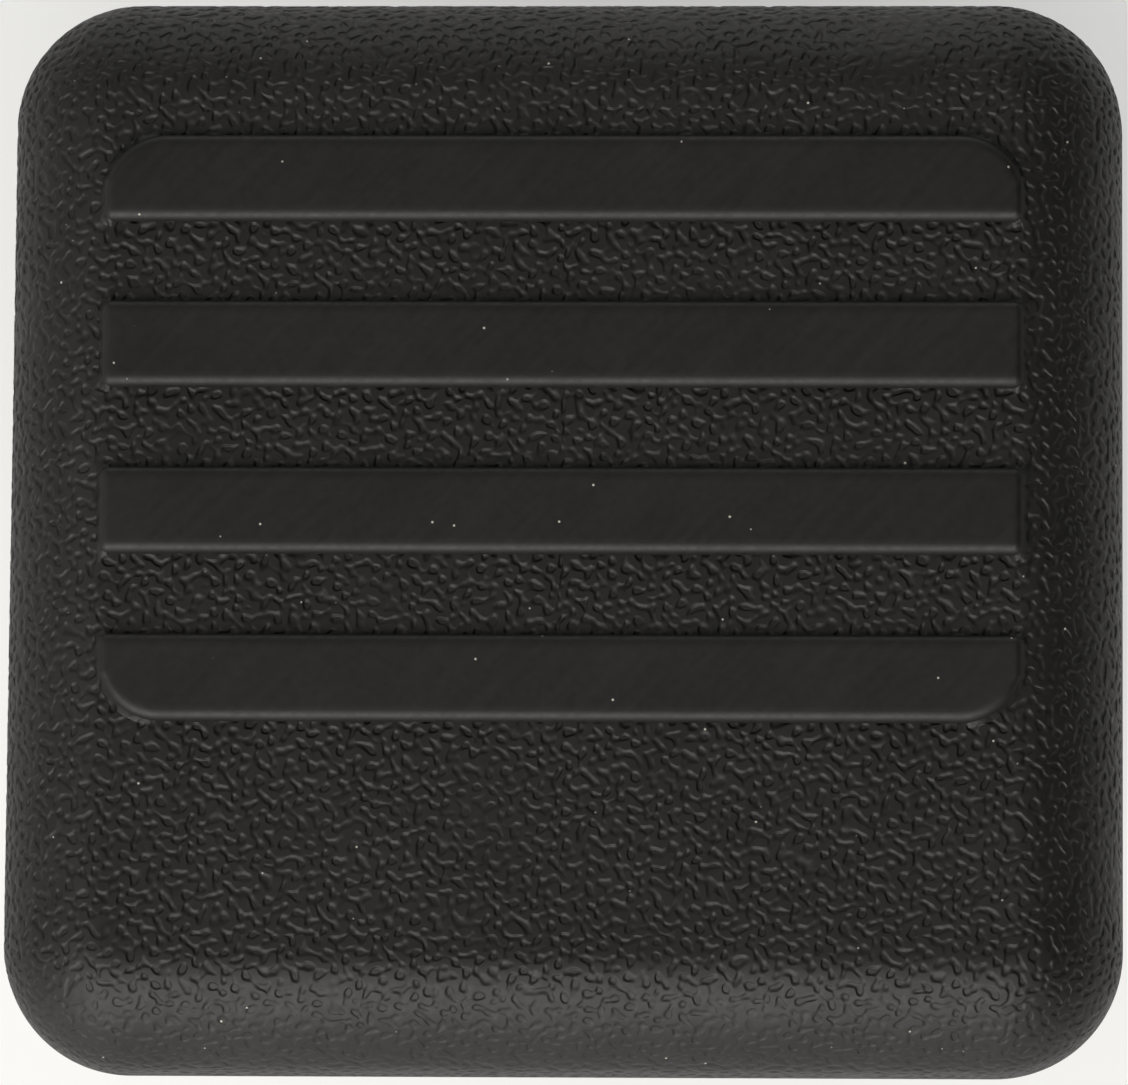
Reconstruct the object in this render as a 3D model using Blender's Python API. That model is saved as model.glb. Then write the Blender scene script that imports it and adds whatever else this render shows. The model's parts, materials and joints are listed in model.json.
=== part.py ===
"""Hitch receiver cover: a one-piece rubber plug that closes the mouth of a square receiver tube.

The row stands on the open end of its plug, with the face up. X runs across the face, Y up the face,
and +Z points out of the receiver, towards whoever looks at the vehicle's tail. All lengths are metres.
"""

from math import pi

import bmesh
import bpy
from mathutils import Matrix, Vector

# The tube that the cover closes: a 2 in. square receiver
RECEIVER_OPENING = 0.0508

# Cap: the part that is seen, a shallow tray moulded face up with its open side on the receiver
FACE_WIDTH = 0.0740
FACE_HEIGHT = 0.0718
CAP_DEPTH = 0.0095
CORNER_RADIUS = 0.0085
EDGE_ROLL = 0.0060
SKIN = 0.0028
RIM_WALL = 0.0028
RIM_DRAFT = 0.0001
RIM_EDGE_ROUND = 0.0005

# Plug: a hollow square stem that goes into the tube
PLUG_LENGTH = 0.0360
PLUG_CLEARANCE = 0.0014
PLUG_WALL = 0.0027
PLUG_CORNER_RADIUS = 0.0050
PLUG_TAPER = 0.0004
CORE_DRAFT = 0.0003
CORE_FILLET = 0.0015
PLUG_END_ROUND = 0.0006

# Grip fins round the plug, sloped on the side that goes in first
FIN_BITE = 0.0003
FIN_PITCH = 0.0075
FIN_SLOPE = 0.0020
FIN_LAND = 0.0009
FIN_START = 0.0040
FIN_ROOT = 0.0004

# Gussets that tie the plug to the rim inside the tray
GUSSET_OFFSET = 0.0120
GUSSET_THICKNESS = 0.0020
GUSSET_SETBACK = 0.0022

# Raised smooth bars on the face: a round-cornered panel split by grained grooves
PANEL_WIDTH = 0.0608
PANEL_CORNER = 0.0042
PANEL_SHIFT = 0.0061
BAR_COUNT = 4
BAR_HEIGHT = 0.0058
BAR_GAP = 0.0053
BAR_RISE = 0.0008
BAR_EDGE = 0.0007
BAR_END_RADIUS = 0.0007

# How finely the round edges are divided, and how far joined shapes run into each other
CORNER_STEPS = 12
ROLL_STEPS = 12
SMALL_STEPS = 3
OVERLAP = 0.0010
SAME_PLACE = 1e-6
QUARTER_TURN = pi / 2
SHARP_ANGLE = 0.6

SEAT_Z = PLUG_LENGTH
FACE_Z = SEAT_Z + CAP_DEPTH
SKIN_Z = FACE_Z - SKIN
PLUG_WIDTH = RECEIVER_OPENING - 2 * PLUG_CLEARANCE
TIP_WIDTH = PLUG_WIDTH - 2 * PLUG_TAPER
FIN_WIDTH = RECEIVER_OPENING + 2 * FIN_BITE


def new_collection(name, parent):
    collection = bpy.data.collections.new(name)
    parent.children.link(collection)
    return collection


def square(side):
    return (side, side)


def block(low_size, high_size, low_z, high_z):
    """A four-sided block from low_z to high_z, with its own width and height at each end."""
    bm = bmesh.new()
    bmesh.ops.create_cube(bm, size=1.0)
    for vert in bm.verts:
        width, height = high_size if vert.co.z > 0 else low_size
        vert.co = Vector((vert.co.x * width, vert.co.y * height, high_z if vert.co.z > 0 else low_z))
    return bm


def upright_edges(bm):
    """The edges that run up the corners of a block, straight or tapered."""
    return [e for e in bm.edges if abs(e.verts[0].co.z - e.verts[1].co.z) > SAME_PLACE]


def edges_at(bm, z):
    return [e for e in bm.edges if all(abs(v.co.z - z) < SAME_PLACE for v in e.verts)]


def round_over(bm, edges, radius, steps):
    bmesh.ops.bevel(
        bm,
        geom=edges,
        offset=radius,
        offset_type="OFFSET",
        segments=steps,
        profile=0.5,
        affect="EDGES",
        clamp_overlap=True,
    )


def finish(bm, name, collection):
    """The block as a smooth-shaded object, with sharp edges kept sharp."""
    mesh = bpy.data.meshes.new(name)
    bmesh.ops.recalc_face_normals(bm, faces=bm.faces)
    bm.to_mesh(mesh)
    bm.free()
    mesh.shade_smooth()
    mesh.set_sharp_from_angle(angle=SHARP_ANGLE)
    shape = bpy.data.objects.new(name, mesh)
    collection.objects.link(shape)
    return shape


def finish_helper(bm, name, collection):
    shape = finish(bm, name, collection)
    shape.hide_render = True
    shape.display_type = "WIRE"
    return shape


def add_boolean(target, name, operation, other):
    modifier = target.modifiers.new(name, "BOOLEAN")
    modifier.operation = operation
    modifier.solver = "EXACT"
    if isinstance(other, bpy.types.Collection):
        modifier.operand_type = "COLLECTION"
        modifier.collection = other
    else:
        modifier.object = other


def cap(collection):
    """The outside of the cap: upright corners first, then the edge of the face rolled over."""
    foot = (FACE_WIDTH, FACE_HEIGHT)
    top = (FACE_WIDTH - 2 * RIM_DRAFT, FACE_HEIGHT - 2 * RIM_DRAFT)
    bm = block(foot, top, SEAT_Z, FACE_Z)
    round_over(bm, upright_edges(bm), CORNER_RADIUS, CORNER_STEPS)
    round_over(bm, edges_at(bm, FACE_Z), EDGE_ROLL, ROLL_STEPS)
    round_over(bm, edges_at(bm, SEAT_Z), RIM_EDGE_ROUND, SMALL_STEPS)
    return finish(bm, "receiver_cover", collection)


def tray_core(collection):
    """The hollow behind the face. Its far edge follows the roll, so that the wall stays one thickness."""
    size = (FACE_WIDTH - 2 * RIM_WALL, FACE_HEIGHT - 2 * RIM_WALL)
    bm = block(size, size, SEAT_Z - OVERLAP, SKIN_Z)
    round_over(bm, upright_edges(bm), max(CORNER_RADIUS - RIM_WALL, RIM_EDGE_ROUND), CORNER_STEPS)
    round_over(bm, edges_at(bm, SKIN_Z), max(EDGE_ROLL - RIM_WALL, RIM_EDGE_ROUND), SMALL_STEPS)
    return finish_helper(bm, "tray_core", collection)


def plug_stem(collection):
    """The stem before it is hollowed, narrower at the end that goes in first."""
    bm = block(square(TIP_WIDTH), square(PLUG_WIDTH), 0.0, SKIN_Z + OVERLAP)
    round_over(bm, upright_edges(bm), PLUG_CORNER_RADIUS, CORNER_STEPS)
    round_over(bm, edges_at(bm, 0.0), PLUG_END_ROUND, SMALL_STEPS)
    return finish_helper(bm, "plug_stem", collection)


def plug_core(collection):
    """The hollow of the plug, wider at its mouth so that the mould's core pulls out."""
    root = PLUG_WIDTH - 2 * PLUG_WALL
    bm = block(square(root + 2 * CORE_DRAFT), square(root), -OVERLAP, SKIN_Z)
    round_over(bm, upright_edges(bm), max(PLUG_CORNER_RADIUS - PLUG_WALL, CORE_FILLET), CORNER_STEPS)
    round_over(bm, edges_at(bm, SKIN_Z), CORE_FILLET, SMALL_STEPS)
    return finish_helper(bm, "plug_core", collection)


def grip_fin(number, low_z, collection):
    """One fin: a sloped flank that leads in, then a narrow land that meets the tube's wall."""
    root_width = TIP_WIDTH - 2 * FIN_ROOT
    bm = block(square(root_width), square(FIN_WIDTH), low_z, low_z + FIN_SLOPE)
    round_over(bm, upright_edges(bm), PLUG_CORNER_RADIUS, CORNER_STEPS)
    bm.faces.ensure_lookup_table()
    top = max(bm.faces, key=lambda face: face.calc_center_median().z)
    raised = bmesh.ops.extrude_face_region(bm, geom=[top])["geom"]
    land_verts = [item for item in raised if isinstance(item, bmesh.types.BMVert)]
    bmesh.ops.translate(bm, vec=(0, 0, FIN_LAND), verts=land_verts)
    bmesh.ops.delete(bm, geom=[top], context="FACES_ONLY")
    return finish_helper(bm, f"grip_fin_{number}", collection)


def gusset_web(name, length, offset, turn, collection):
    """A web across the whole tray, ending midway in the cap's wall. The plug's hollow parts it later."""
    size = (length, GUSSET_THICKNESS)
    top_z = FACE_Z - SKIN / 2
    bm = block(size, size, SEAT_Z + GUSSET_SETBACK, top_z)
    ends = [e for e in edges_at(bm, top_z) if abs(e.verts[0].co.x - e.verts[1].co.x) < SAME_PLACE]
    round_over(bm, ends, max(EDGE_ROLL - RIM_WALL / 2, RIM_EDGE_ROUND), SMALL_STEPS)
    bmesh.ops.translate(bm, vec=(0, offset, 0), verts=bm.verts)
    bmesh.ops.rotate(bm, cent=(0, 0, 0), matrix=Matrix.Rotation(turn, 3, "Z"), verts=bm.verts)
    return finish_helper(bm, name, collection)


def gussets(collection):
    for side, offset in (("first", -GUSSET_OFFSET), ("second", GUSSET_OFFSET)):
        gusset_web(f"gussets_across_{side}", FACE_WIDTH - RIM_WALL, offset, 0.0, collection)
        gusset_web(f"gussets_upright_{side}", FACE_HEIGHT - RIM_WALL, offset, QUARTER_TURN, collection)


def face_bar(number, collection):
    """One raised bar. The outer corners of the first and the last follow the panel's round corners."""
    middle = PANEL_SHIFT + (number - (BAR_COUNT - 1) / 2) * (BAR_HEIGHT + BAR_GAP)
    top_z = FACE_Z + BAR_RISE
    size = (PANEL_WIDTH, BAR_HEIGHT)
    bm = block(size, size, FACE_Z - OVERLAP, top_z)
    outward = {0: -1, BAR_COUNT - 1: 1}.get(number, 0)
    panel_corners = [e for e in upright_edges(bm) if e.verts[0].co.y * outward > 0]
    groove_corners = [e for e in upright_edges(bm) if e.verts[0].co.y * outward <= 0]
    # A panel corner takes at most what the groove corner leaves of the bar's height.
    panel_radius = min(PANEL_CORNER, BAR_HEIGHT - 2 * BAR_END_RADIUS)
    round_over(bm, groove_corners, BAR_END_RADIUS, SMALL_STEPS)
    if panel_corners:
        kept = [e for e in upright_edges(bm) if is_panel_corner(e, outward)]
        round_over(bm, kept, panel_radius, CORNER_STEPS)
    round_over(bm, edges_at(bm, top_z), BAR_EDGE, SMALL_STEPS)
    bmesh.ops.translate(bm, vec=(0, middle, 0), verts=bm.verts)
    return finish_helper(bm, f"face_bar_{number + 1}", collection)


def is_panel_corner(edge, outward):
    at = edge.verts[0].co
    return at.y * outward > BAR_HEIGHT / 2 - SAME_PLACE and abs(at.x) > PANEL_WIDTH / 2 - SAME_PLACE


def fin_count():
    """As many fins as the plug has room for below the cap."""
    last_start = PLUG_LENGTH - FIN_PITCH / 2 - FIN_SLOPE - FIN_LAND
    return int((last_start - FIN_START) / FIN_PITCH) + 1


def moulded_rubber():
    """Black carbon-filled rubber with a satin skin."""
    material = bpy.data.materials.new("moulded_rubber")
    material.use_nodes = True
    shader = material.node_tree.nodes["Principled BSDF"]
    shader.inputs["Base Color"].default_value = (0.012, 0.012, 0.011, 1.0)
    shader.inputs["Roughness"].default_value = 0.55
    shader.inputs["Metallic"].default_value = 0.0
    return material


def build():
    for shape in list(bpy.data.objects):
        bpy.data.objects.remove(shape)
    scene_root = bpy.context.scene.collection
    part = new_collection("hitch_receiver_cover", scene_root)
    cutters = new_collection("cutters", scene_root)
    behind = new_collection("stem_fins_and_gussets", cutters)
    bars = new_collection("raised_bars", cutters)

    plug_stem(behind)
    for number in range(fin_count()):
        grip_fin(number + 1, FIN_START + number * FIN_PITCH, behind)
    gussets(behind)
    for number in range(BAR_COUNT):
        face_bar(number, bars)

    cover = cap(part)
    cover.data.materials.append(moulded_rubber())
    add_boolean(cover, "hollow_tray", "DIFFERENCE", tray_core(cutters))
    add_boolean(cover, "stem_fins_and_gussets", "UNION", behind)
    add_boolean(cover, "hollow_plug", "DIFFERENCE", plug_core(cutters))
    add_boolean(cover, "raised_bars", "UNION", bars)


build()
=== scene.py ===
import json
from math import atan2, ceil, cos, pi, radians, sin, sqrt, tau

import bmesh
import bpy
import numpy as np
from mathutils import Matrix, Vector

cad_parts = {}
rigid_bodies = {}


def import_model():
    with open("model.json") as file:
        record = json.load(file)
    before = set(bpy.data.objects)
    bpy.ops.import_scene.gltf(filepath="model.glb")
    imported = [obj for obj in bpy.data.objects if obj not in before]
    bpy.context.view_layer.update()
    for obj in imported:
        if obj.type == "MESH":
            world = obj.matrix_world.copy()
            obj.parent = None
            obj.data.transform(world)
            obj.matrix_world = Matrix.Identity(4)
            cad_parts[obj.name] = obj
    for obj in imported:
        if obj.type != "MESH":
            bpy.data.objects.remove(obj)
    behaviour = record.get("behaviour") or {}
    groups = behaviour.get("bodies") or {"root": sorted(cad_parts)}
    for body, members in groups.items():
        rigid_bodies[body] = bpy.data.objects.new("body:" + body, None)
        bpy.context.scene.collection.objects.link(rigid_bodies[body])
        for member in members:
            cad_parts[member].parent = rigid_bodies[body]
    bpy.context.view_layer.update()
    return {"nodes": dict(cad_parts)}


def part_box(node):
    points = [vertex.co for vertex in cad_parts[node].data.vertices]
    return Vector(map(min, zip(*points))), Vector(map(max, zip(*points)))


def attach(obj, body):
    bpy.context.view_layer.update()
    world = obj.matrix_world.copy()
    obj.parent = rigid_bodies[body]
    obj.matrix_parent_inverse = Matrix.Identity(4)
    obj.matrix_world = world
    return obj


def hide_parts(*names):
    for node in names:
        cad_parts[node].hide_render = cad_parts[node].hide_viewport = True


# Blender's own startup objects make room for the frame
for startup_object in list(bpy.data.objects):
    bpy.data.objects.remove(startup_object)
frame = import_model()

# COVER MOULDING
# The whole cover: one injection moulding in black thermoplastic rubber, with nothing fixed to it.
# The cavity half of the mould is etched, which leaves short curved grooves over the face and the rim;
# only the tops of the raised bars are polished. The back keeps the plain skin of the mould's core.

MM = 0.001
CAD_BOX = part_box("receiver_cover")

# The cap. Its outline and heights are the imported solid's, and its roll starts 1 mm further in
HALF_WIDTH = CAD_BOX[1].x
HALF_HEIGHT = CAD_BOX[1].y
BAR_RISE = 0.8 * MM
CAP_DEPTH = 9.5 * MM
FACE_Z = CAD_BOX[1].z - BAR_RISE
SEAT_Z = FACE_Z - CAP_DEPTH
CORNER = 8.5 * MM
CORNER_X = HALF_WIDTH - CORNER
CORNER_Y = HALF_HEIGHT - CORNER
SKIN = 2.8 * MM
DRAFT = 0.1 * MM
RIM_EDGE = 0.5 * MM
ROLL = 7.0 * MM
ROLL_POWER = 1.75
ROLL_STEPS = 500

# The raised bars: four across, the outer corners of the first and last rounded more
BAR_HALF_WIDTH = 30.4 * MM
BAR_HALF_HEIGHT = 2.9 * MM
BAR_COUNT = 4
BAR_PITCH = 11.1 * MM
PANEL_SHIFT = 6.1 * MM
BAR_MIDDLES = [PANEL_SHIFT + (n - (BAR_COUNT - 1) / 2) * BAR_PITCH for n in range(BAR_COUNT)]
BAR_EDGE = 0.7 * MM
BAR_CORNER = 0.7 * MM
PANEL_CORNER = 4.2 * MM
BAR_FOOT = 0.02 * MM

# How finely the skin is divided: everywhere, and by lines that follow the round of a bar's edge
GRID = 0.345 * MM
EDGE_INSETS = [0.7 * MM, 0.45 * MM, 0.25 * MM, 0.1 * MM, 0.03 * MM, 0.0, -BAR_FOOT]

# The skin's section laid out straight, from a corner's centre outward: flat, roll, wall, edge of the rim
TURNS = np.linspace(0, pi / 2, ROLL_STEPS)
ROLL_OUT = ROLL * np.sin(TURNS) ** (2 / ROLL_POWER)
ROLL_DOWN = ROLL * (1 - np.cos(TURNS) ** (2 / ROLL_POWER))
ROLL_ALONG = np.append(0, np.cumsum(np.hypot(np.diff(ROLL_OUT), np.diff(ROLL_DOWN))))
FLAT = CORNER - ROLL
ROLL_ARC = float(ROLL_ALONG[-1])
WALL = CAP_DEPTH - ROLL - RIM_EDGE
EDGE_ARC = RIM_EDGE * pi / 2
UNROLLED = FLAT + ROLL_ARC + WALL + EDGE_ARC

# The lowest band of the rim, next to the parting line, has no grain
SMOOTH_ABOVE_SEAT = 0.9 * MM

# Vertices nearer than this are one, and an edge where the surface turns by more than this is a crease
SAME_PLACE = 0.001 * MM
CREASE = radians(32)


def divided(stops, step):
    """Every stretch between two stops cut into equal lengths of at most one step."""
    stops = sorted(set(round(stop, 9) for stop in stops))
    places = [stops[0]]
    for low, high in zip(stops, stops[1:]):
        # A millionth of a step over a whole number is rounding
        count = ceil((high - low) / step - 1e-6)
        places += [low + (high - low) * n / count for n in range(1, count + 1)]
    return np.array(places)


def eased(value, low, high):
    """0 up to low, 1 from high on, and a smooth rise between them."""
    share = np.clip((value - low) / (high - low), 0, 1)
    return share * share * (3 - 2 * share)


def rounded(across, up):
    """Turns squares round a corner into quarter circles of the same reach.

    Returns each point's reach, and the two shares of its new direction.
    """
    reach = np.maximum(across, up)
    # The flat middle has no reach, and the tiny one keeps the angle there from dividing by 0
    angle = pi / 4 * np.minimum(across, up) / np.maximum(reach, 1e-12)
    steep = up > across
    x_share = np.where(steep, np.sin(angle), np.cos(angle))
    y_share = np.where(steep, np.cos(angle), np.sin(angle))
    return reach, x_share, y_share


def corner_radius(bar, side):
    """Radius of the two corners of a bar on one side: the panel's own corners are larger."""
    outer = (bar == 0 and side < 0) or (bar == len(BAR_MIDDLES) - 1 and side > 0)
    return PANEL_CORNER if outer else BAR_CORNER


def follow_bar_corners(u, v):
    """Bends the grid lines near each bar's corners, so that they run along its rounded outline."""
    for bar, middle in enumerate(BAR_MIDDLES):
        for side in (-1, 1):
            radius = corner_radius(bar, side)
            across = np.abs(u) - (BAR_HALF_WIDTH - radius)
            up = side * (v - middle) - (BAR_HALF_HEIGHT - radius)
            reach, x_share, y_share = rounded(np.maximum(across, 0), np.maximum(up, 0))
            inside = (across > 0) & (up > 0)
            held = np.where(inside, 1 - eased(reach, radius + BAR_FOOT, 2 * radius), 0)
            u = u + np.sign(u) * held * (reach * x_share - across)
            v = v + side * held * (reach * y_share - up)
    return u, v


def bar_inset(x, y):
    """How far a point lies inside the nearest bar's outline, less than zero outside it."""
    inset = np.full_like(x, -np.inf)
    for bar, middle in enumerate(BAR_MIDDLES):
        radius = np.where(y > middle, corner_radius(bar, 1), corner_radius(bar, -1))
        across = np.abs(x) - (BAR_HALF_WIDTH - radius)
        up = np.abs(y - middle) - (BAR_HALF_HEIGHT - radius)
        outside = np.hypot(np.maximum(across, 0), np.maximum(up, 0))
        inset = np.maximum(inset, radius - outside - np.minimum(np.maximum(across, up), 0))
    return inset


def rim_section(along):
    """Plan radius and height of the skin at a distance outward from a corner's centre, along the skin."""
    past_roll = along - FLAT - ROLL_ARC
    down = np.clip(past_roll, 0, WALL)
    under = np.clip((past_roll - WALL) / RIM_EDGE, 0, pi / 2)
    out = np.minimum(along, FLAT) + np.interp(along - FLAT, ROLL_ALONG, ROLL_OUT)
    drop = np.interp(along - FLAT, ROLL_ALONG, ROLL_DOWN) + down + RIM_EDGE * np.sin(under)
    return out - RIM_EDGE * (1 - np.cos(under)) - DRAFT * (1 - down / WALL), FACE_Z - drop


def skin_lines():
    """The columns and rows of the skin's grid, with lines where its section and the bars' edges change."""
    bands = [0, FLAT, FLAT + ROLL_ARC, UNROLLED - EDGE_ARC, UNROLLED]
    u_stops = [CORNER_X + band for band in bands] + [BAR_HALF_WIDTH - inset for inset in EDGE_INSETS]
    v_stops = [CORNER_Y + band for band in bands] + [-CORNER_Y - band for band in bands]
    for middle in BAR_MIDDLES:
        for side in (-1, 1):
            v_stops += [middle + side * (BAR_HALF_HEIGHT - inset) for inset in EDGE_INSETS]
    return divided(u_stops + [-stop for stop in u_stops], GRID), divided(v_stops, GRID)


def front_skin():
    """The face, its rolled edge and the rim's outside as one grid, with the bars raised from it.

    Returns the mesh. Its grain_map is the skin laid out flat, and grain_share says where it is grained.
    """
    columns, rows = skin_lines()
    u, v = (flat.ravel() for flat in np.meshgrid(columns, rows))
    u, v = follow_bar_corners(u, v)

    past_x = np.maximum(np.abs(u) - CORNER_X, 0)
    past_y = np.maximum(np.abs(v) - CORNER_Y, 0)
    along, x_share, y_share = rounded(past_x, past_y)
    radius, z = rim_section(along)
    x = np.sign(u) * (np.minimum(np.abs(u), CORNER_X) + x_share * radius)
    y = np.sign(v) * (np.minimum(np.abs(v), CORNER_Y) + y_share * radius)
    flat_x = np.sign(u) * (np.minimum(np.abs(u), CORNER_X) + x_share * along)
    flat_y = np.sign(v) * (np.minimum(np.abs(v), CORNER_Y) + y_share * along)

    inset = bar_inset(x, y)
    on_bar = inset > -BAR_FOOT / 2
    into_edge = BAR_EDGE - np.clip(inset, 0, BAR_EDGE)
    bar_top = BAR_RISE - BAR_EDGE + np.sqrt(BAR_EDGE**2 - into_edge**2)
    z = z + np.where(on_bar, bar_top, 0)
    grained = eased(z, SEAT_Z + SMOOTH_ABOVE_SEAT / 2, SEAT_Z + SMOOTH_ABOVE_SEAT)
    grained = np.where(on_bar, 0, grained)

    wide, tall = len(columns), len(rows)
    first = (np.arange(tall - 1)[:, None] * wide + np.arange(wide - 1)).ravel()
    quads = np.stack([first, first + 1, first + wide + 1, first + wide], axis=1)
    mesh = bpy.data.meshes.new("front_skin")
    mesh.from_pydata(np.stack([x, y, z], axis=1).tolist(), [], quads.tolist())
    share = mesh.attributes.new("grain_share", "FLOAT", "POINT")
    share.data.foreach_set("value", grained.astype(np.float32))
    laid_flat = mesh.attributes.new("grain_map", "FLOAT_VECTOR", "POINT")
    places = np.stack([flat_x, flat_y, np.zeros_like(flat_x)], axis=1)
    laid_flat.data.foreach_set("vector", places.astype(np.float32).ravel())
    return mesh


def is_outer_skin(face):
    """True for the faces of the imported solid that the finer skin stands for, the seat among them."""
    at = face.calc_center_median()
    in_seat = all(abs(vert.co.z - SEAT_Z) < BAR_FOOT for vert in face.verts)
    on_face = at.z > FACE_Z - SKIN / 2
    # The rim's inside lies a full skin in from the outline, and its outside next to it
    corner_reach = sqrt(max(abs(at.x) - CORNER_X, 0) ** 2 + max(abs(at.y) - CORNER_Y, 0) ** 2)
    edge_inset = min(CORNER - corner_reach, HALF_WIDTH - abs(at.x), HALF_HEIGHT - abs(at.y))
    on_rim = at.z > SEAT_Z and edge_inset < 0.9 * SKIN
    return in_seat or on_face or on_rim


def cover_body():
    """The fine front skin joined at the seat to the tray, plug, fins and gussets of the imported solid."""
    joined = bmesh.new()
    joined.from_mesh(frame["nodes"]["receiver_cover"].data)
    bmesh.ops.remove_doubles(joined, verts=joined.verts, dist=SAME_PLACE)
    outer_faces = [face for face in joined.faces if is_outer_skin(face)]
    bmesh.ops.delete(joined, geom=outer_faces, context="FACES")
    back = bpy.data.meshes.new("back")
    joined.to_mesh(back)
    joined.clear()
    skin = front_skin()
    joined.from_mesh(skin)
    joined.from_mesh(back)
    joined.verts.index_update()

    # The seat: a flat ring between the skin's last row and the mouth of the tray, taken round by angle
    ring = sorted((v for v in joined.verts if v.is_boundary), key=lambda v: atan2(v.co.y, v.co.x))
    in_skin = [v.index < len(skin.vertices) for v in ring]
    outer = [v for v, skinned in zip(ring, in_skin) if skinned][-1]
    inner = [v for v, skinned in zip(ring, in_skin) if not skinned][-1]
    for vert, skinned in zip(ring, in_skin):
        joined.faces.new((outer, inner, vert))
        outer, inner = (vert, inner) if skinned else (outer, vert)
    bmesh.ops.recalc_face_normals(joined, faces=joined.faces)
    mesh = bpy.data.meshes.new("cover_moulding")
    joined.to_mesh(mesh)
    joined.free()

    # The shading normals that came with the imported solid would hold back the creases
    mesh.attributes.remove(mesh.attributes["custom_normal"])
    mesh.shade_smooth()
    mesh.set_sharp_from_angle(angle=CREASE)
    return mesh


# The etched grain: grooves about as wide as the lands between them, one to two pitches long. They lie
# where a field of waves is high, and GROOVE_EDGE is the field's value at a groove's rim and at its bottom.
GROOVE_PITCH = 0.97 * MM
GROOVE_DEPTH = 0.13 * MM
GROOVE_EDGE = (-0.6, 1.9)
PITCH_SPREAD = 0.27
WANDER = 0.20 * MM
WANDER_SIZE = 2.2 * MM
GRAIN_SEED = 7

# The waves come in fans of three, which look the same again when turned by FAN_REPEAT. The fans share
# that turn out, shuffled by FAN_SHUFFLE so that it doesn't grow with their pitch, and a little unevenly.
GRAIN_FANS = 4
FAN_REPEAT = pi / 3
FAN_SHUFFLE = 3
FAN_SLACK = 0.3

# Where the grain is fainter: in worn patches, where a noise is low, and on the rubbed lower roll
WORN_SIZE = 9.0 * MM
WORN_NOISE = (0.30, 0.46)
WORN_SHARE = 0.35
RUBBED_SHARE = 0.6
RUBBED_FROM = HALF_HEIGHT - ROLL
RUBBED_OVER = ROLL / 2


def linear(code):
    """An sRGB hex colour as the linear colour that the shaders take."""
    shares = [int(code[n : n + 2], 16) / 255 for n in (1, 3, 5)]
    return tuple([c / 12.92 if c <= 0.04045 else ((c + 0.055) / 1.055) ** 2.4 for c in shares] + [1.0])


def add(tree, kind, inputs=None, **settings):
    """Adds a node with its settings, and links or sets its inputs by name or number."""
    node = tree.nodes.new(kind)
    for name, value in settings.items():
        setattr(node, name, value)
    for name, value in (inputs or {}).items():
        if isinstance(value, bpy.types.NodeSocket):
            tree.links.new(value, node.inputs[name])
        else:
            node.inputs[name].default_value = value
    return node


def groove_field(tree, place):
    """Adds the grain's wave field to a node tree: waves in many directions over a place that wanders.

    It swings about 0 with a spread of 1, and the same place always has the same value.
    """
    drawn = np.random.default_rng(GRAIN_SEED)
    noise = add(tree, "ShaderNodeTexNoise", {"Vector": place, "Scale": 1 / WANDER_SIZE, "Detail": 0.0})
    # The noise swings by about a quarter either way, so four times WANDER moves a place by WANDER
    sway = add(
        tree,
        "ShaderNodeVectorMath",
        {0: noise.outputs["Color"], 1: (4 * WANDER, 4 * WANDER, 0), 2: place},
        operation="MULTIPLY_ADD",
    ).outputs[0]

    # A fan's three waves run along the axes of a cube that stands on its corner, so they lie 120 degrees
    # apart in the skin. Seen from above, those axes are shorter by sqrt(2 / 3).
    on_corner = Vector((0, 0, 1)).rotation_difference(Vector((1, 1, 1))).to_matrix()
    total = 0.0
    for fan in range(GRAIN_FANS):
        step = (fan * FAN_SHUFFLE) % GRAIN_FANS + drawn.uniform(0, FAN_SLACK)
        turn = on_corner @ Matrix.Rotation(FAN_REPEAT * step / GRAIN_FANS, 3, "Z")
        pitch = GROOVE_PITCH * (1 + PITCH_SPREAD * (2 * fan / (GRAIN_FANS - 1) - 1))
        phase_per_metre = tau / pitch / sqrt(2 / 3)
        turned = add(
            tree,
            "ShaderNodeVectorRotate",
            {"Vector": sway, "Rotation": turn.to_euler()},
            rotation_type="EULER_XYZ",
        ).outputs[0]
        phases = add(
            tree,
            "ShaderNodeVectorMath",
            {0: turned, 1: (phase_per_metre,) * 3, 2: tuple(drawn.uniform(0, tau, 3))},
            operation="MULTIPLY_ADD",
        ).outputs[0]
        waves = add(tree, "ShaderNodeVectorMath", {0: phases}, operation="SINE").outputs[0]
        summed = add(
            tree, "ShaderNodeVectorMath", {0: waves, 1: (1, 1, 1)}, operation="DOT_PRODUCT"
        ).outputs["Value"]
        total = add(tree, "ShaderNodeMath", {0: total, 1: summed}, operation="ADD").outputs[0]
    # The square of a wave is a half on average, and a fan has three
    spread = sqrt(GRAIN_FANS * 3 / 2)
    return add(tree, "ShaderNodeMath", {0: total, 1: spread}, operation="DIVIDE").outputs[0]


def groove_depth_share(tree, place):
    """How deep the grain goes at a place, from 0 on a land to 1 at the bottom of a groove."""
    rim, bottom = GROOVE_EDGE
    return add(
        tree,
        "ShaderNodeMapRange",
        {"Value": groove_field(tree, place), "From Min": rim, "From Max": bottom},
        interpolation_type="SMOOTHSTEP",
    ).outputs[0]


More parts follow.
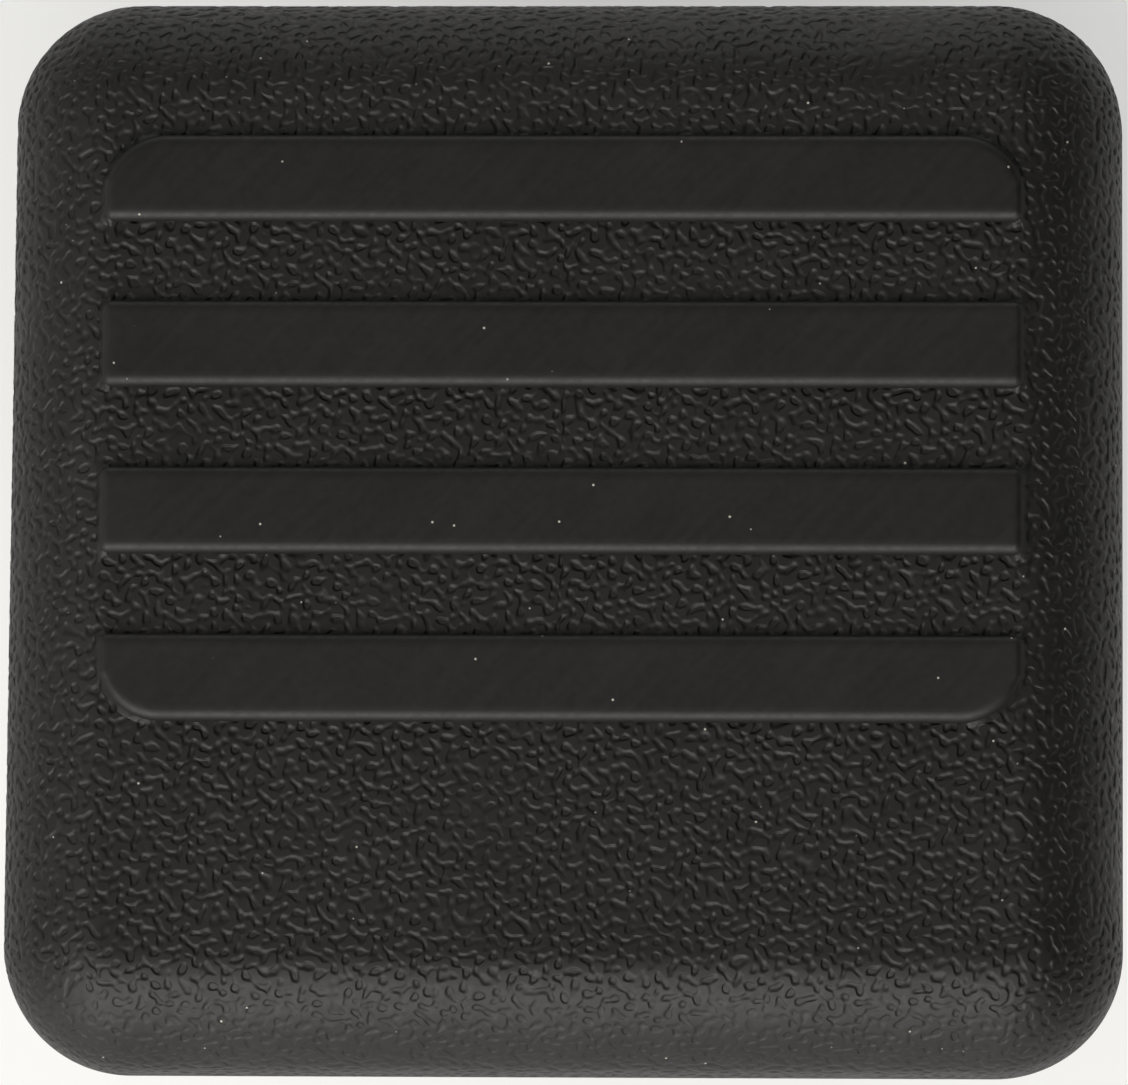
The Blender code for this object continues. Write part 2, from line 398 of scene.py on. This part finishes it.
def grain_tree():
    """Geometry Nodes that press the grooves into the skin and note the grain's strength at each point."""
    tree = bpy.data.node_groups.new("press_grain", "GeometryNodeTree")
    face = tree.interface
    face.new_socket("Skin", in_out="INPUT", socket_type="NodeSocketGeometry")
    face.new_socket("Groove depth", in_out="INPUT", socket_type="NodeSocketFloat")
    face.new_socket("Worn patch size", in_out="INPUT", socket_type="NodeSocketFloat")
    face.new_socket("Worn share", in_out="INPUT", socket_type="NodeSocketFloat")
    face.new_socket("Rubbed share", in_out="INPUT", socket_type="NodeSocketFloat")
    face.new_socket("Finish", in_out="INPUT", socket_type="NodeSocketMaterial")
    face.new_socket("Grained skin", in_out="OUTPUT", socket_type="NodeSocketGeometry")
    given = add(tree, "NodeGroupInput").outputs
    place = add(
        tree, "GeometryNodeInputNamedAttribute", {"Name": "grain_map"}, data_type="FLOAT_VECTOR"
    ).outputs[0]
    grained = add(
        tree, "GeometryNodeInputNamedAttribute", {"Name": "grain_share"}, data_type="FLOAT"
    ).outputs[0]

    # What the worn patches and the rubbed lower roll leave of the grain
    patch_scale = add(
        tree, "ShaderNodeMath", {0: 1.0, 1: given["Worn patch size"]}, operation="DIVIDE"
    ).outputs[0]
    patches = add(
        tree, "ShaderNodeTexNoise", {"Vector": place, "Scale": patch_scale, "Detail": 2.0}
    ).outputs[0]
    unworn = add(
        tree,
        "ShaderNodeMapRange",
        {
            "Value": patches,
            "From Min": WORN_NOISE[0],
            "From Max": WORN_NOISE[1],
            "To Min": given["Worn share"],
            "To Max": 1.0,
        },
    ).outputs[0]
    height = add(tree, "ShaderNodeSeparateXYZ", {0: place}).outputs["Y"]
    unrubbed = add(
        tree,
        "ShaderNodeMapRange",
        {
            "Value": height,
            "From Min": -RUBBED_FROM,
            "From Max": -RUBBED_FROM - RUBBED_OVER,
            "To Min": 1.0,
            "To Max": given["Rubbed share"],
        },
    ).outputs[0]
    kept = add(tree, "ShaderNodeMath", {0: unworn, 1: unrubbed}, operation="MULTIPLY").outputs[0]
    strength = add(tree, "ShaderNodeMath", {0: grained, 1: kept}, operation="MULTIPLY").outputs[0]
    noted = add(
        tree,
        "GeometryNodeStoreNamedAttribute",
        {"Geometry": given["Skin"], "Name": "grain_strength", "Value": strength},
        data_type="FLOAT",
        domain="POINT",
    ).outputs[0]

    # The skin moves inward by the groove's depth
    share = groove_depth_share(tree, place)
    share = add(tree, "ShaderNodeMath", {0: share, 1: strength}, operation="MULTIPLY").outputs[0]
    inward = add(
        tree, "ShaderNodeMath", {0: given["Groove depth"], 1: -1.0}, operation="MULTIPLY"
    ).outputs[0]
    pressed = add(tree, "ShaderNodeMath", {0: share, 1: inward}, operation="MULTIPLY").outputs[0]
    normal = add(tree, "GeometryNodeInputNormal").outputs[0]
    offset = add(tree, "ShaderNodeVectorMath", {0: normal, "Scale": pressed}, operation="SCALE").outputs[0]
    moved = add(tree, "GeometryNodeSetPosition", {"Geometry": noted, "Offset": offset}).outputs[0]
    real = add(tree, "GeometryNodeRealizeInstances", {"Geometry": moved}).outputs[0]
    painted = add(
        tree, "GeometryNodeSetMaterial", {"Geometry": real, "Material": given["Finish"]}
    ).outputs[0]
    add(tree, "NodeGroupOutput", {0: painted})
    return tree


# The rubber's finish: the blacks that its clouds and tool marks go between, dust, and a satin skin
CARBON_DARK = "#0d0c0c"
CARBON_LIGHT = "#161514"
CLOUD_SIZE = 6.0 * MM
CUT_MARK_WIDTH = 0.6 * MM
CUT_MARK_LENGTH = 9.0 * MM
CUT_MARK_SLANT = pi / 4
DUST = "#a8a49b"
DUST_RADIUS = 0.10 * MM
DUST_SPACING = 2.4 * MM
SATIN_ROUGHNESS = (0.48, 0.58)
SATIN_GRIT = 0.5 * MM

# The bounds that a noise nearly always keeps within, and those of two added together
ONE_NOISE = (0.3, 0.7)
TWO_NOISES = (0.7, 1.3)


def moulded_rubber():
    """Black rubber coloured through with carbon, as it left the mould.

    To the eye it is satin, with hardly a shine, so that light and dark come from its form and grain.
    """
    material = bpy.data.materials.new("black_rubber_injection_moulded")
    material.use_nodes = True
    tree = material.node_tree
    shader = tree.nodes["Principled BSDF"]
    skin_place = add(tree, "ShaderNodeAttribute", attribute_name="grain_map").outputs["Vector"]
    strength = add(tree, "ShaderNodeAttribute", attribute_name="grain_strength").outputs["Fac"]
    place = add(tree, "ShaderNodeTexCoord").outputs["Object"]

    # Carbon black is never quite even: faint clouds, and the slanting marks of the tool that cut the mould
    clouds = add(
        tree, "ShaderNodeTexNoise", {"Vector": place, "Scale": 1 / CLOUD_SIZE, "Detail": 4.0}
    ).outputs[0]
    mark_size = (CUT_MARK_WIDTH, CUT_MARK_LENGTH, CUT_MARK_LENGTH)
    along_marks = add(
        tree,
        "ShaderNodeMapping",
        {"Vector": place, "Rotation": (0, 0, -CUT_MARK_SLANT), "Scale": mark_size},
        vector_type="TEXTURE",
    ).outputs[0]
    cut_marks = add(
        tree, "ShaderNodeTexNoise", {"Vector": along_marks, "Scale": 1.0, "Detail": 2.0}
    ).outputs[0]
    uneven = add(tree, "ShaderNodeMath", {0: clouds, 1: cut_marks}, operation="ADD").outputs[0]
    uneven = add(
        tree, "ShaderNodeMapRange", {"Value": uneven, "From Min": TWO_NOISES[0], "From Max": TWO_NOISES[1]}
    ).outputs[0]
    # A Mix node's colours are its inputs 6 and 7, and its colour result is output 2
    black = add(
        tree,
        "ShaderNodeMix",
        {0: uneven, 6: linear(CARBON_DARK), 7: linear(CARBON_LIGHT)},
        data_type="RGBA",
    ).outputs[2]

    # Grains of pale dust: small balls strewn through space, seen where the skin cuts them
    strewn = add(
        tree, "ShaderNodeTexVoronoi", {"Vector": place, "Scale": 1 / DUST_SPACING}
    ).outputs["Distance"]
    dust_reach = DUST_RADIUS / DUST_SPACING
    dust = add(
        tree,
        "ShaderNodeMapRange",
        {"Value": strewn, "From Min": dust_reach / 2, "From Max": dust_reach, "To Min": 1.0, "To Max": 0.0},
    ).outputs[0]
    dusted = add(tree, "ShaderNodeMix", {0: dust, 6: black, 7: linear(DUST)}, data_type="RGBA").outputs[2]
    tree.links.new(dusted, shader.inputs["Base Color"])

    # A satin skin, never quite even. It is full of fine pits, so it mirrors less than its index gives
    grit = add(
        tree, "ShaderNodeTexNoise", {"Vector": place, "Scale": 1 / SATIN_GRIT, "Detail": 3.0}
    ).outputs[0]
    satin = add(
        tree,
        "ShaderNodeMapRange",
        {
            "Value": grit,
            "From Min": ONE_NOISE[0],
            "From Max": ONE_NOISE[1],
            "To Min": SATIN_ROUGHNESS[0],
            "To Max": SATIN_ROUGHNESS[1],
        },
    ).outputs[0]
    tree.links.new(satin, shader.inputs["Roughness"])
    shader.inputs["IOR"].default_value = 1.5
    shader.inputs["Specular IOR Level"].default_value = 0.33

    # The same grooves as in the mesh, with the sharp rims that its facets are too coarse for
    grooves = groove_depth_share(tree, skin_place)
    grooves = add(tree, "ShaderNodeMath", {0: grooves, 1: strength}, operation="MULTIPLY").outputs[0]
    lands = add(tree, "ShaderNodeMath", {0: 1.0, 1: grooves}, operation="SUBTRACT").outputs[0]
    pressed = add(tree, "ShaderNodeBump", {"Distance": GROOVE_DEPTH, "Height": lands}).outputs[0]
    tree.links.new(pressed, shader.inputs["Normal"])
    return material


cover = bpy.data.objects.new("cover_moulding", cover_body())
bpy.context.scene.collection.objects.link(cover)
smooth_normals = np.empty(len(cover.data.loops) * 3, np.float32)
cover.data.corner_normals.foreach_get("vector", smooth_normals)

grain = cover.modifiers.new("press_grain", "NODES")
grain.node_group = grain_tree()
grain_inputs = {
    "Groove depth": GROOVE_DEPTH,
    "Worn patch size": WORN_SIZE,
    "Worn share": WORN_SHARE,
    "Rubbed share": RUBBED_SHARE,
    "Finish": moulded_rubber(),
}
for socket in grain.node_group.interface.items_tree:
    if socket.name in grain_inputs:
        grain[socket.identifier] = grain_inputs[socket.name]
dressed = bpy.data.meshes.new_from_object(cover.evaluated_get(bpy.context.evaluated_depsgraph_get()))
cover.modifiers.remove(grain)
cover.data = dressed
# The grooves are shaded from the finer field in the finish, so the skin keeps the normals it had unpressed
cover.data.normals_split_custom_set(smooth_normals.reshape(-1, 3))
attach(cover, "root")
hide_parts("receiver_cover")

# STUDIO
# A flat sheet of pale card in a plain room with two soft lamps. The cover stands on it by the open end
# of its plug. The card is lit as the cover is, so it keeps the cover's shadow, and it is lifted towards
# white only where it is seen or mirrored.

CARD_SIZE = 8.0
CARD_GREY = "#b4b4b2"
CARD_LIFT = 0.42
CARD_GLOW = "#ffffff"

bpy.ops.mesh.primitive_plane_add(size=CARD_SIZE)
floor = bpy.context.object
floor.name = "floor"
# Matt coated card: an even pale grey that shows shadows and no lamp
card = bpy.data.materials.new("pale_card_matt_coated")
card.use_nodes = True
card_tree = card.node_tree
card_shader = card_tree.nodes["Principled BSDF"]
card_shader.inputs["Base Color"].default_value = linear(CARD_GREY)
card_shader.inputs["Roughness"].default_value = 0.9
card_shader.inputs["Specular IOR Level"].default_value = 0.1
card_shader.inputs["Emission Color"].default_value = linear(CARD_GLOW)
ray = add(card_tree, "ShaderNodeLightPath").outputs
seen = add(
    card_tree, "ShaderNodeMath", {0: ray["Is Camera Ray"], 1: ray["Is Glossy Ray"]}, operation="ADD"
).outputs[0]
seen = add(
    card_tree, "ShaderNodeMath", {0: seen, 1: ray["Is Transmission Ray"]}, operation="ADD"
).outputs[0]
lift = add(card_tree, "ShaderNodeMath", {0: seen, 1: CARD_LIFT}, operation="MULTIPLY").outputs[0]
card_tree.links.new(lift, card_shader.inputs["Emission Strength"])
floor.data.materials.append(card)

# The room's light changes with direction: X is the picture's right, Y its top and Z straight overhead
ROOM_LIGHT = 1.5
ROOM_WHITE = "#fffefb"

room = bpy.data.worlds.new("room")
bpy.context.scene.world = room
room.use_nodes = True
room_tree = room.node_tree
looking = add(room_tree, "ShaderNodeTexCoord").outputs["Generated"]
looking = add(room_tree, "ShaderNodeSeparateXYZ", {0: looking}).outputs


def room_share(axis, low, high, at_low, at_high):
    """A factor of the room's light that changes smoothly with direction along one axis."""
    return add(
        room_tree,
        "ShaderNodeMapRange",
        {"Value": looking[axis], "From Min": low, "From Max": high, "To Min": at_low, "To Max": at_high},
        interpolation_type="SMOOTHSTEP",
    ).outputs[0]


dim_overhead = room_share("Z", 0.00, 0.85, 1.00, 0.32)
dark_on_the_right = room_share("X", 0.10, 0.75, 0.68, 0.05)
dim_far_left = room_share("X", -0.95, -0.20, 0.50, 1.00)
bright_in_front = room_share("Y", -0.80, 0.00, 1.35, 0.85)
bright_low_behind = room_share("Y", 0.88, 1.00, 1.00, 3.20)
room_light = ROOM_LIGHT
for share in (dim_overhead, dark_on_the_right, dim_far_left, bright_in_front, bright_low_behind):
    room_light = add(
        room_tree, "ShaderNodeMath", {0: room_light, 1: share}, operation="MULTIPLY"
    ).outputs[0]
room_tree.links.new(room_light, room_tree.nodes["Background"].inputs["Strength"])
room_tree.nodes["Background"].inputs["Color"].default_value = linear(ROOM_WHITE)

FACE_CENTRE = Vector((0, 0, FACE_Z))
LAMP_DISTANCE = 0.75
LAMP_WHITE = "#fffdf8"


def facing(place, target, roll=0.0):
    """Puts a lamp or camera at a place, pointed at a target, with +Y up in its view before it is rolled."""
    back = (place - target).normalized()
    right = Vector((0, 1, 0)).cross(back).normalized()
    axes = Matrix((right, back.cross(right), back)).transposed()
    return Matrix.Translation(place) @ axes.to_4x4() @ Matrix.Rotation(roll, 4, "Z")


def softbox(name, direction, size, radiance):
    """A rectangular soft lamp, aimed at the face, that looks equally bright whatever its size."""
    lamp = bpy.data.lights.new(name, "AREA")
    lamp.shape = "RECTANGLE"
    lamp.size, lamp.size_y = size
    lamp.energy = radiance * pi * size[0] * size[1]
    lamp.color = linear(LAMP_WHITE)[:3]
    lamp_object = bpy.data.objects.new(name, lamp)
    bpy.context.scene.collection.objects.link(lamp_object)
    place = FACE_CENTRE + LAMP_DISTANCE * Vector(direction).normalized()
    lamp_object.matrix_world = facing(place, FACE_CENTRE)


softbox("front_softbox", direction=(-0.20, -0.73, 0.60), size=(1.00, 0.55), radiance=5.3)
softbox("left_softbox", direction=(-0.80, -0.10, 0.75), size=(0.30, 0.25), radiance=3.0)

# CAMERA
# A long lens almost square to the face, a little below its middle and to its right, and rolled by half a
# degree. Its focal length is written in pixels of the photograph, whose frame the cover nearly fills.

CAMERA_DISTANCE = 0.620
CAMERA_PITCH = radians(8.85)
CAMERA_YAW = radians(2.27)
CAMERA_ROLL = radians(0.465)
AIM = FACE_CENTRE + Vector((0.21 * MM, -1.54 * MM, 0))
PHOTO_WIDTH = 1128
FOCAL_PIXELS = 9445
SENSOR_WIDTH = 36.0

camera = bpy.data.objects.new("camera", bpy.data.cameras.new("camera"))
bpy.context.scene.collection.objects.link(camera)
camera.data.sensor_fit = "HORIZONTAL"
camera.data.sensor_width = SENSOR_WIDTH
camera.data.lens = SENSOR_WIDTH * FOCAL_PIXELS / PHOTO_WIDTH
camera.data.clip_start = 0.05
camera.data.clip_end = 50.0
out_of_face = cos(CAMERA_PITCH)
back = Vector((sin(CAMERA_YAW) * out_of_face, -sin(CAMERA_PITCH), cos(CAMERA_YAW) * out_of_face))
camera.matrix_world = facing(FACE_CENTRE + CAMERA_DISTANCE * back, AIM, CAMERA_ROLL)
bpy.context.scene.camera = camera
bpy.context.scene.view_settings.view_transform = "Standard"
